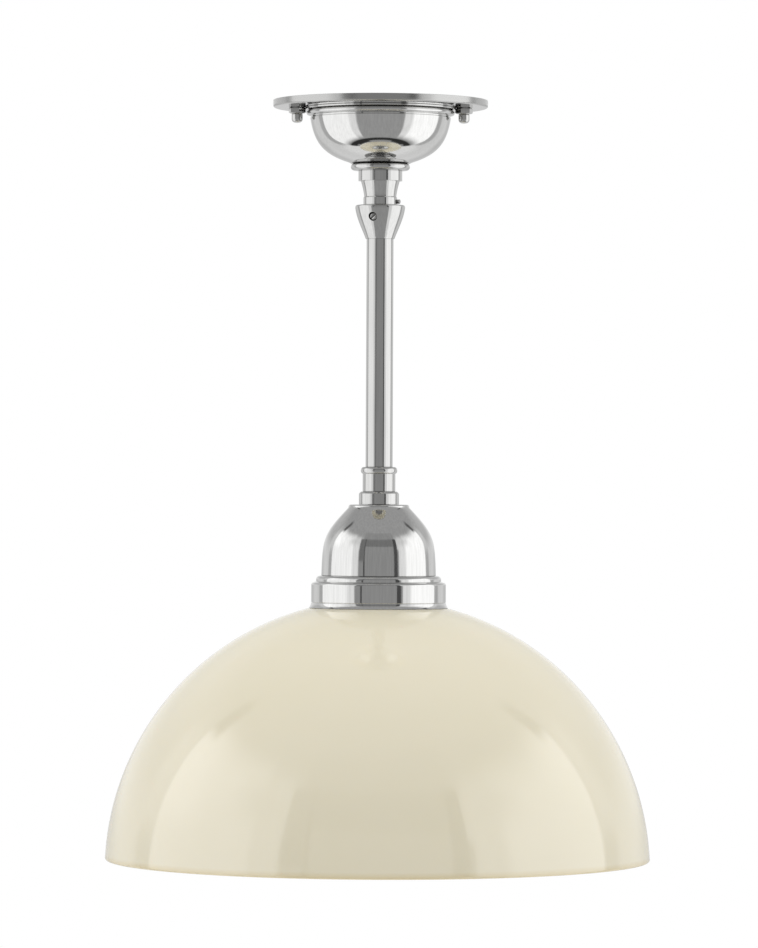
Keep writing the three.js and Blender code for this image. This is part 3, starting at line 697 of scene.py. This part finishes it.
# Neck washer and nut.
# A zinc-plated washer and a brass hexagon nut inside the bowl. They clamp the neck's stub.
washer = turned("flat_washer", [(5.4, 0), (9, 0), (9, 1), (5.4, 1)], datum=bowl_bottom + sheet, steps=72)
finished(washer, zinc, "zinc_steel", "ceiling_rose", "neck_washer", edge=0.15)
neck_nut = hexagon("bowl_nut", 14, bowl_bottom + sheet + 4, bowl_bottom + sheet + 1, bore=5.2)
finished(neck_nut, brass, "bare_brass", "ceiling_rose", "neck_nut", edge=0.15)

# Neck lock screw.
# An M2 slotted grub screw, nickel plated. It stands out of the neck's end ring and stops the
# stem from turning.
lock_screw_length = 4
lock_screw_start = 5.4
lock_slot_turn = 25

lock_screw = slotted_screw("lock_screw", lock_screw_radius, lock_screw_length, slot_width=0.4, slot_depth=0.6)
placed(lock_screw, lock_screw_start, 0, bowl_bottom - lock_screw_drop, turn=(lock_slot_turn, 90, 0))
finished(lock_screw, bar_nickel, "polished_nickel", "ceiling_rose", "neck_lock_screw", edge=0.05)

# Upper threaded tube.
# Zinc-plated M10 all-thread, out of sight: it joins the neck to the stem tube.


def dressed(material, *nodes):
    """Give solids that keep their own shape a better material."""
    for node in nodes:
        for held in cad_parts[node].material_slots:
            held.material = material


def threaded_zinc():
    """Zinc-plated steel tube with a fine cut thread, one millimetre from crest to crest."""
    pitch = 1 * mm
    material = zinc.copy()
    material.name = "threaded_zinc_steel"
    tree = material.node_tree
    place = tree.nodes["Texture Coordinate"].outputs["Object"]
    height = add_node(tree, "SeparateXYZ", {0: place})
    turns = add_node(tree, "Math", {0: height.outputs["Z"], 1: math.tau / pitch}, operation="MULTIPLY")
    angle = add_node(tree, "Math", {0: height.outputs["Y"], 1: height.outputs["X"]}, operation="ARCTAN2")
    phase = add_node(tree, "Math", {0: turns.outputs[0], 1: angle.outputs[0]}, operation="SUBTRACT")
    wave = add_node(tree, "Math", {0: phase.outputs[0]}, operation="COSINE")
    bump = add_node(tree, "Bump", {
        "Height": wave.outputs[0], "Strength": 0.8, "Distance": 0.25 * mm,
        "Normal": tree.nodes["Bump"].outputs[0],
    })
    return wired(material, Normal=bump.outputs[0])


threaded = threaded_zinc()
dressed(threaded, "upper_nipple")

# Stem tube.
# Plain drawn brass tube, nickel plated, screwed on the short threaded tubes at both its ends.
tube_radius = 6.2
tube_top = -48.3
tube_bottom = -173

tube = turned("polished_tube", [
    (5.15, tube_top),
    (tube_radius, tube_top),
    (tube_radius, tube_bottom),
    (5.15, tube_bottom),
])
finished(tube, bar_nickel, "polished_nickel", "stem", "stem_tube", edge=0.1)

# Ferrule.
# A cone turned from bar with a rounded shoulder. It slides on the tube and hides the joint
# with the neck, and its own slotted screw holds it there.
ferrule_top = -48
ferrule_screw_drop = 5.6
ferrule_screw_angle = 19
ferrule_screw_radius = 1.7

ferrule = turned("cone_ferrule", [
    (6.3, 0),
    (10.5, 0),
    *curve((10.5, 0), (11.15, -0.05), (11.45, -0.3), (11.5, -1), 5),
    *curve((11.5, -1), (10.95, -6.2), (7.9, -11.8), (6.6, -15.5), 16),
    (6.3, -15.5),
], datum=ferrule_top)
screw_way = stadium("ferrule_screw_way", 0, 0, ferrule_screw_radius + 0.3, 2, 14)
placed(screw_way, turn=(90, 0, 0))
placed(screw_way, 0, 0, ferrule_top - ferrule_screw_drop, turn=(0, 0, -ferrule_screw_angle))
combined(ferrule, "DIFFERENCE", screw_way)
finished(ferrule, bar_nickel, "polished_nickel", "ferrule", "rod_ferrule", edge=0.1)

# Ferrule screw.
# A slotted grub screw, nickel plated, sunk a little in its hole. It presses on the tube.
ferrule_screw_length = 3.2
ferrule_slot_turn = 40
tube_gap = 0.3

ferrule_screw = slotted_screw(
    "sunk_screw", ferrule_screw_radius, ferrule_screw_length, slot_width=0.7, slot_depth=0.9,
)
placed(ferrule_screw, turn=(0, 0, ferrule_slot_turn))
placed(ferrule_screw, 0, -tube_radius - tube_gap, 0, turn=(90, 0, 0))
placed(ferrule_screw, 0, 0, ferrule_top - ferrule_screw_drop, turn=(0, 0, -ferrule_screw_angle))
finished(ferrule_screw, bar_nickel, "polished_nickel", "ferrule", "ferrule_screw", edge=0.06)

# Sleeve and collar.
# The sleeve joins the tube to the bell, and the plain collar under it spreads the load on the
# bell's flat top. Both are turned from bar and plated.
sleeve_top = -168.2
sleeve_length = 11.3
collar_length = 5.9

sleeve = turned("tube_sleeve", [
    (6.3, 0),
    (7.2, 0),
    *curve((7.2, 0), (8.7, -0.2), (8.7, -2.9), (7.5, -3.1), 12),
    (7.5, -sleeve_length),
    (5.2, -sleeve_length),
    (5.2, -4.9),
    (6.3, -4.9),
], datum=sleeve_top)
finished(sleeve, bar_nickel, "polished_nickel", "stem", "coupling_sleeve", edge=0.1)

collar = turned("plain_collar", [
    (5.2, 0),
    (8.3, 0),
    (9.2, -0.9),
    (9.2, -collar_length),
    (5.2, -collar_length),
], datum=sleeve_top - sleeve_length)
finished(collar, bar_nickel, "polished_nickel", "stem", "bell_collar", edge=0.12)

# Lower threaded tube and its nut.
# Out of sight inside the bell: they draw the sleeve, collar and bell together and carry the holder.
dressed(threaded, "lower_nipple")
dressed(brass, "bell_nut")

# Bell.
# Spun from sheet to an even wall over the lampholder: a flat top with a soft edge, a round
# shoulder and nearly straight sides down to the gallery.
bell_top = -185.5
bell_bottom = -218.1
bell_height = bell_top - bell_bottom
bell_side = ((14.1, -1.5), (25.6, -13.5), (25.8, -15.7), (26.3, -bell_height))
bell_inside = ((13.3, -2), (24.6, -14), (24.8, -16), (25.3, -bell_height))

bell = turned("spun_bell", [
    (5.2, 0),
    (13.3, 0),
    (13.8, -0.4),
    bell_side[0],
    *curve(*bell_side, 32),
    bell_inside[3],
    *curve(*reversed(bell_inside), 20),
    (12.6, -1),
    (5.2, -1),
], datum=bell_top, steps=160)
finished(bell, nickel, "polished_nickel", "stem", "bell_cover", edge=0.2)

# Lampholder.
# An E27 holder in black thermoset: a cap screwed on the threaded tube, a body that takes the
# shade ring, a ceramic contact block, a sprung brass contact, and a brass shell for the bulb.
holder_bore = 14.2
holder_thread = 19.9
body_top = -207
body_step = bell_bottom - 0.1
body_bottom = -241
ring_pitch = 2.5
ring_depth = 0.5


def pressed_thermoset():
    """Phenolic powder pressed in a hot mould: black, quite glossy, with slow waves and pale flow clouds."""
    press_wave = 3 * mm
    flow_cloud = 9 * mm
    material, tree, place = new_material("pressed_thermoset", IOR=1.6)
    cloud = add_node(tree, "TexNoise", {"Vector": place, "Scale": 1 / flow_cloud, "Detail": 5.0})
    tint = add_node(tree, "Mix", {
        0: cloud.outputs["Fac"], 6: from_hex("#161617"), 7: from_hex("#26262A"),
    }, data_type="RGBA")
    waves = add_node(tree, "TexNoise", {"Vector": place, "Scale": 1 / press_wave, "Detail": 3.0})
    rough = add_node(tree, "MapRange", {"Value": cloud.outputs["Fac"], "To Min": 0.2, "To Max": 0.42})
    bump = add_node(tree, "Bump", {"Height": waves.outputs["Fac"], "Strength": 0.25, "Distance": 0.05 * mm})
    return wired(material, Base_Color=tint.outputs[2], Roughness=rough.outputs[0], Normal=bump.outputs[0])


def dry_grained(name, grit, relief, low_colour, high_colour, **uniform):
    """A dull solid with a fine dry grain of a size and a relief in millimetres."""
    material, tree, place = new_material(name, **uniform)
    grain = add_node(tree, "TexNoise", {"Vector": place, "Scale": 1 / (grit * mm), "Detail": 4.0})
    tint = add_node(tree, "Mix", {
        0: grain.outputs["Fac"], 6: from_hex(low_colour), 7: from_hex(high_colour),
    }, data_type="RGBA")
    bump = add_node(tree, "Bump", {"Height": grain.outputs["Fac"], "Strength": 0.3, "Distance": relief * mm})
    return wired(material, Base_Color=tint.outputs[2], Normal=bump.outputs[0])


thermoset = pressed_thermoset()
dressed(thermoset, "holder_cap")
dressed(brown, "holder_lead_live")
dressed(blue, "holder_lead_neutral")
# Steatite, pressed and fired without a glaze: a warm white with a fine dry grain.
steatite = dry_grained("fired_steatite", 0.15, 0.02, "#E7E2D5", "#F4F1E8", IOR=1.56, Roughness=0.62)
dressed(steatite, "contact_block")
dressed(brass, "centre_contact", "threaded_shell")

holder_body = turned("holder_barrel", [
    (holder_bore, body_top),
    (18.3, body_top),
    (18.3, body_step),
    (holder_thread - ring_depth, body_step),
    *rows(holder_thread - ring_depth, body_step - 0.5, body_bottom + 3.2, ring_pitch / 10),
    (holder_thread - ring_depth, body_bottom + 3),
    (holder_thread, body_bottom + 2.6),
    (holder_thread, body_bottom + 0.6),
    (holder_thread - 0.6, body_bottom),
    (holder_bore, body_bottom),
], steps=96)
thread_on(
    holder_body, holder_thread - ring_depth, ring_depth, ring_pitch,
    body_step - 0.5, body_bottom + 3.2, ring_pitch / 2,
)
finished(holder_body, thermoset, "black_thermoset", "stem", "holder_body", edge=0, corner=45)

# Gallery.
# A stepped ring pressed and turned from sheet, with a flared lip over the glass. Its inner
# flange is clamped on the lampholder.
gallery_radius = 30.9

gallery = turned("stepped_gallery", [
    (20.4, 0),
    (26.4, 0),
    *curve((26.4, 0), (27.9, -0.1), (28.6, -0.6), (28.7, -1.8), 8),
    (28.7, -2.7),
    (30, -3.2),
    *curve((30, -3.2), (30.6, -3.3), (gallery_radius, -3.7), (gallery_radius, -4.4), 6),
    (gallery_radius, -12.1),
    (gallery_radius - 0.15, -12.2),
    (gallery_radius - 0.15, -12.4),
    (gallery_radius, -12.5),
    *curve((gallery_radius, -12.5), (31, -13.3), (31.3, -14), (31.95, -14.8), 8),
    (31.1, -14.6),
    (30, -12.1),
    (30, -4.8),
    (27.8, -3.6),
    (27.8, -2.2),
    (26.3, -0.9),
    (20.4, -0.9),
], datum=bell_bottom, steps=160)
finished(gallery, nickel, "polished_nickel", "stem", "gallery_ring", edge=0.1)

# Gasket.
# A flat ring of moulded EPDM rubber between the gallery and the glass, out of sight. It is deep
# grey and dull, with a dusty fine grain.
rubber = dry_grained("moulded_rubber", 0.3, 0.03, "#222222", "#343434", IOR=1.5, Roughness=0.8)
dressed(rubber, "gasket")

# Opal dome.
# Blown opal glass, cream all through and fire polished: a part of a sphere whose short neck
# sits in the gallery, with a lip turned in at the top and a rounded, ground and polished rim.
dome_radius = 125.06
dome_centre = -353.94
dome_rim = -348.6
glass_wall = 3.5
glass_neck = 28.4
glass_top = -220.5
glass_hole = 21.2


def opal_glass():
    """Opal glass: light sinks a little way in, so it looks soft and even. The fire-polished face and the
    opal just under it both mirror the lamps, which a high IOR stands for. The blown wall is very
    slightly uneven, which draws out their reflections."""
    blown_wave = 45 * mm
    batch_cloud = 60 * mm
    material, tree, place = new_material(
        "opal_glass", IOR=1.92, Roughness=0.06, Subsurface_Weight=0.12,
        Subsurface_Radius=(1.0, 0.85, 0.55), Subsurface_Scale=2.5 * mm,
    )
    cloud = add_node(tree, "TexNoise", {"Vector": place, "Scale": 1 / batch_cloud, "Detail": 2.0})
    body = add_node(tree, "Mix", {
        0: cloud.outputs["Fac"], 6: from_hex("#D2CBB3"), 7: from_hex("#D6CFBA"),
    }, data_type="RGBA")
    height = add_node(tree, "SeparateXYZ", {0: place})
    edge = add_node(tree, "MapRange", {
        "Value": height.outputs["Z"], "From Min": (dome_rim + 0.6) * mm, "From Max": (dome_rim + 3.2) * mm,
        "To Min": 1.0, "To Max": 0.0,
    })
    colour = add_node(tree, "Mix", {
        0: edge.outputs[0], 6: body.outputs[2], 7: from_hex("#CBBE9B"),
    }, data_type="RGBA")
    waves = add_node(tree, "TexNoise", {"Vector": place, "Scale": 1 / blown_wave, "Detail": 1.0})
    bump = add_node(tree, "Bump", {"Height": waves.outputs["Fac"], "Strength": 0.5, "Distance": 0.6 * mm})
    return wired(material, Base_Color=colour.outputs[2], Normal=bump.outputs[0])


def sphere_arc(radius, start, end, steps):
    """Points of the dome's section, by the angle above its centre in degrees."""
    angles = [math.radians(start + (end - start) * i / steps) for i in range(steps + 1)]
    return [(radius * math.cos(a), dome_centre + radius * math.sin(a)) for a in angles]


inner_radius = dome_radius - glass_wall
rim_angle = math.degrees(math.asin((dome_rim + 1.3 - dome_centre) / dome_radius))
rim_angle_inside = math.degrees(math.asin((dome_rim + 1.3 - dome_centre) / inner_radius))
neck_angle = math.degrees(math.acos(glass_neck / dome_radius))
neck_angle_inside = math.degrees(math.acos((glass_neck - glass_wall) / inner_radius))

dome = turned("opal_dome", [
    (glass_hole, glass_top),
    (glass_neck - 3.6, glass_top),
    *curve(
        (glass_neck - 3.6, glass_top), (glass_neck - 1.6, glass_top),
        (glass_neck, glass_top - 1.6), (glass_neck, glass_top - 3.6), 8,
    ),
    *sphere_arc(dome_radius, neck_angle, rim_angle, 72),
    *curve(
        (dome_radius - 0.1, dome_rim + 1.3), (dome_radius - 0.1, dome_rim + 0.4),
        (dome_radius - 0.7, dome_rim), (dome_radius - 1.5, dome_rim), 6,
    ),
    (inner_radius + 1.2, dome_rim),
    *curve(
        (inner_radius + 1.2, dome_rim), (inner_radius + 0.4, dome_rim),
        (inner_radius, dome_rim + 0.5), (inner_radius, dome_rim + 1.3), 6,
    ),
    *sphere_arc(inner_radius, rim_angle_inside, neck_angle_inside, 56),
    (glass_neck - glass_wall, glass_top - glass_wall),
    (glass_hole, glass_top - glass_wall),
], steps=192)
finished(dome, opal_glass(), "opal_glass", "stem", "glass_shade", edge=0)

# Shade ring.
# Pressed in the same black thermoset, with finger ribs round it. It screws on the holder from
# below and clamps the glass's turned-in lip.
ring_top = glass_top - glass_wall - 0.1
ring_bore = holder_thread + 0.3
rib_count = 36
rib_depth = 0.45

shade_ring = turned("ribbed_ring", [
    (ring_bore, 0), (24.1, 0), (24.3, -0.2), (24.3, -2.2), (24.1, -2.4), (22.9, -2.7),
    (22.9, -7), (22.5, -7.4), (ring_bore, -7.4),
], datum=ring_top, steps=216)
for vertex in shade_ring.data.vertices:
    x, y, z = vertex.co / mm
    distance = math.hypot(x, y)
    if distance > 22.4 and z < ring_top - 2.5:
        groove = 0.5 - 0.5 * math.cos(rib_count * math.atan2(y, x))
        vertex.co.xy *= (distance - rib_depth * groove) / distance
finished(shade_ring, thermoset, "black_thermoset", "stem", "shade_ring", edge=0.12, corner=50)

# Bulb.
# An opal coated glass globe cemented in a nickel-plated brass cap with a rolled E27 thread. A
# black glass insulator holds the tip contact.
bulb_top = -216.2
bulb_length = 107
bulb_radius = 30
cap_root = 12.2
cap_thread = 0.9
cap_pitch = 3.629
cap_top = -221.6
cap_wall = 0.7
cap_skirt = bulb_top - 25.3
skirt_radius = 13.1


def coated_bulb_glass():
    """Bulb glass with an even white coating inside: bright, soft and slightly glossy."""
    coating_cloud = 20 * mm
    material, tree, place = new_material("coated_bulb_glass", IOR=1.5)
    cloud = add_node(tree, "TexNoise", {"Vector": place, "Scale": 1 / coating_cloud, "Detail": 3.0})
    tint = add_node(tree, "Mix", {
        0: cloud.outputs["Fac"], 6: from_hex("#F1F0EA"), 7: from_hex("#F7F6F1"),
    }, data_type="RGBA")
    rough = add_node(tree, "MapRange", {"Value": cloud.outputs["Fac"], "To Min": 0.22, "To Max": 0.34})
    return wired(material, Base_Color=tint.outputs[2], Roughness=rough.outputs[0])


thread_top = cap_top - 0.3
thread_bottom = cap_skirt + 7.3
bulb_cap = turned("rolled_cap", [
    (cap_root - cap_wall, cap_top),
    (cap_root - 0.2, cap_top),
    *rows(cap_root, thread_top, thread_bottom, cap_pitch / 14),
    (cap_root, cap_skirt + 3.5),
    *curve(
        (cap_root, cap_skirt + 3.5), (cap_root + 0.1, cap_skirt + 3),
        (skirt_radius - 0.1, cap_skirt + 3), (skirt_radius, cap_skirt + 2.5), 5,
    ),
    (skirt_radius, cap_skirt + 0.2),
    (skirt_radius - 0.2, cap_skirt),
    (cap_root - cap_wall, cap_skirt),
], steps=120)
thread_on(bulb_cap, cap_root, cap_thread, cap_pitch, thread_top, thread_bottom, cap_pitch / 2)
finished(bulb_cap, nickel, "zinc_steel", "bulb", "bulb_cap", edge=0, corner=50)

globe_top = bulb_top - 25.6
globe_centre = bulb_top - bulb_length + bulb_radius
globe_side = (
    (13.4, globe_top), (13.6, globe_top - 18), (bulb_radius, globe_centre + 24), (bulb_radius, globe_centre),
)
globe = turned("opal_globe", [
    (0, globe_top),
    globe_side[0],
    *curve(*globe_side, 32),
    *[
        (bulb_radius * math.cos(a * math.pi / 48), globe_centre - bulb_radius * math.sin(a * math.pi / 48))
        for a in range(1, 24)
    ],
    (0, globe_centre - bulb_radius),
], steps=128)
finished(globe, coated_bulb_glass(), "frosted_bulb", "bulb", "bulb_globe", edge=0)
dressed(thermoset, "bulb_insulator")
dressed(nickel, "bulb_tip_contact")

# Studio.
# A white room with a large soft lamp at each side, a dim front where the camera stands, black
# flags beside it and a pale floor far below. Polished parts mirror all of this. Matt parts are lit
# by a plainer room of the same brightness, and the camera itself sees plain white.
room = 0.92
room_far_above = 0.66
room_far_below = 0.67
ceiling = 0.48
lamp_right = 1.62
lamp_left = 1.44
lamp_outer_above = 1.68
lamp_inner_above = 0.92
lamp_inner_edge = 1.14
lamp_border = 0.6
room_front = 0.46
room_front_level = 0.4
room_front_above = 0.26
floor_front = 0.42
floor_behind = 1.08
gap = 0.04
corner_gap = 0.15
flag = 0.1
grey_flag = 0.24
plain_room = 1.12
plain_front = 0.54
plain_ceiling = 1.6

world = bpy.data.worlds.new("studio")
bpy.context.scene.world = world
world.use_nodes = True
sky = world.node_tree
sky.nodes.clear()
toward = add_node(sky, "SeparateXYZ", {0: add_node(sky, "TexCoord").outputs["Generated"]})
front = add_node(sky, "Math", {0: toward.outputs["Y"], 1: -1.0}, operation="MULTIPLY")
turn = add_node(sky, "Math", {0: toward.outputs["X"], 1: front.outputs[0]}, operation="ARCTAN2").outputs[0]
side = add_node(sky, "Math", {0: turn}, operation="ABSOLUTE").outputs[0]
rise = add_node(sky, "Math", {0: toward.outputs["Z"]}, operation="ARCSINE").outputs[0]


def window(angle, low, high, soft_low, soft_high):
    """1 where an angle lies between two others, in degrees, and falling off softly at both."""
    enter = add_node(sky, "MapRange", {
        "Value": angle, "From Min": math.radians(low - soft_low), "From Max": math.radians(low + soft_low),
    }, interpolation_type="SMOOTHSTEP")
    leave = add_node(sky, "MapRange", {
        "Value": angle, "From Min": math.radians(high - soft_high),
        "From Max": math.radians(high + soft_high), "To Min": 1.0, "To Max": 0.0,
    }, interpolation_type="SMOOTHSTEP")
    both = add_node(sky, "Math", {0: enter.outputs[0], 1: leave.outputs[0]}, operation="MULTIPLY")
    return both.outputs[0]


def laid_over(light, level, *windows):
    """Another part of the room laid over the light so far, where it shows through all its windows."""
    mask = window(*windows[0])
    for other in windows[1:]:
        mask = add_node(sky, "Math", {0: mask, 1: window(*other)}, operation="MULTIPLY").outputs[0]
    return add_node(sky, "Mix", {0: mask, 2: light, 3: level}).outputs[0]


front_card = (side, -1, 41.5, 0.1, 1.2)
light = room
for level, *windows in (
    (floor_behind, (rise, -91, -50, 1, 8)),
    (room_far_above, (side, 124, 181, 5, 0.5), (rise, 12, 40, 8, 8)),
    (room_far_below, (side, 148, 181, 10, 0.5), (rise, -25, 1.5, 8, 3)),
    (ceiling, (rise, 36, 91, 9, 1)),
    (floor_front, (rise, -91, -50, 1, 9), (side, -1, 112, 0.1, 6)),
    (lamp_inner_edge, (side, 43, 58, 1, 1.5), (rise, -50, 34, 9, 9)),
    (lamp_right, (side, 57, 111, 3, 1.5), (rise, -50, 36, 9, 12)),
    (lamp_left, (turn, -111, -57, 1.5, 3), (rise, -50, 36, 9, 12)),
    (lamp_inner_above, (side, 43, 66, 1, 10), (rise, 22, 36, 8, 12)),
    (lamp_outer_above, (side, 90, 111, 10, 1.5), (rise, 14, 36, 6, 12)),
    (lamp_border, (side, 112, 123, 1.5, 3), (rise, -50, 7, 5, 5)),
    (corner_gap, (side, 103.5, 112, 2, 1.5), (rise, 38, 52, 3, 3)),
    (room_front, front_card, (rise, -59, 14, 1, 3)),
    (room_front, (side, -1, 35, 0.1, 1.2), (rise, 12, 37, 3, 2)),
    (room_front_level, front_card, (rise, -10, 14, 6, 2)),
    (room_front_level, (side, -1, 37, 0.1, 2), (rise, 12, 54, 3, 2)),
    (room_front_above, (side, -1, 31, 0.1, 1), (rise, 20, 36, 0.6, 3)),
    (flag, (turn, 31.5, 39, 0.6, 0.6), (rise, -6, 36, 2, 2)),
    (flag, (turn, -31.5, -28.5, 0.6, 0.6), (rise, -6, 36, 2, 2)),
    (grey_flag, (turn, -41, -30, 0.8, 0.8), (rise, 5, 36, 1, 2)),
    (gap, (side, -1, 112, 0.1, 4), (rise, -66.5, -58.5, 1.5, 1.5)),
    (gap, (side, 38, 90, 5, 5), (rise, -70, -60, 2, 1.5)),
):
    light = laid_over(light, level, *windows)
plain_light = laid_over(plain_room, plain_front, (side, -1, 42, 0.1, 30))
plain_light = laid_over(plain_light, plain_ceiling, (rise, 28, 91, 24, 1))
path = add_node(sky, "LightPath")
shown = add_node(sky, "Mix", {0: path.outputs["Is Glossy Ray"], 2: plain_light, 3: light})
shown = add_node(sky, "Mix", {0: path.outputs["Is Camera Ray"], 2: shown.outputs[0], 3: 1.0})
background = add_node(sky, "Background", {"Color": (1, 1, 1, 1), "Strength": shown.outputs[0]})
add_node(sky, "OutputWorld", {"Surface": background.outputs[0]})

floor_drop = 3.7
floor_size = 8.0
bpy.ops.object.select_all(action="DESELECT")
bpy.ops.mesh.primitive_plane_add(size=floor_size, location=(0, 0, -floor_drop))
floor = bpy.context.object
floor.name = "pale_floor"
pale, tree, place = new_material("pale_floor", Base_Color=from_hex("#F3F2EF"), Roughness=0.7)
reach = add_node(tree, "VectorMath", {0: place}, operation="LENGTH")
fade = add_node(tree, "MapRange", {
    "Value": reach.outputs["Value"], "From Min": 0.25 * floor_size, "From Max": 0.48 * floor_size,
    "To Min": 0.35, "To Max": 1.0,
})
seen = add_node(tree, "Math", {
    0: add_node(tree, "LightPath").outputs["Is Camera Ray"], 1: fade.outputs[0],
}, operation="MULTIPLY")
white = add_node(tree, "Emission", {"Color": (1, 1, 1, 1), "Strength": 1.0})
mixed = add_node(tree, "MixShader", {
    0: seen.outputs[0], 1: tree.nodes["Principled BSDF"].outputs[0], 2: white.outputs[0],
})
open_below = add_node(tree, "MixShader", {
    0: add_node(tree, "NewGeometry").outputs["Backfacing"], 1: mixed.outputs[0],
    2: add_node(tree, "BsdfTransparent").outputs[0],
})
tree.links.new(open_below.outputs[0], tree.nodes["Material Output"].inputs["Surface"])
floor.data.materials.append(pale)
floor.visible_glossy = False
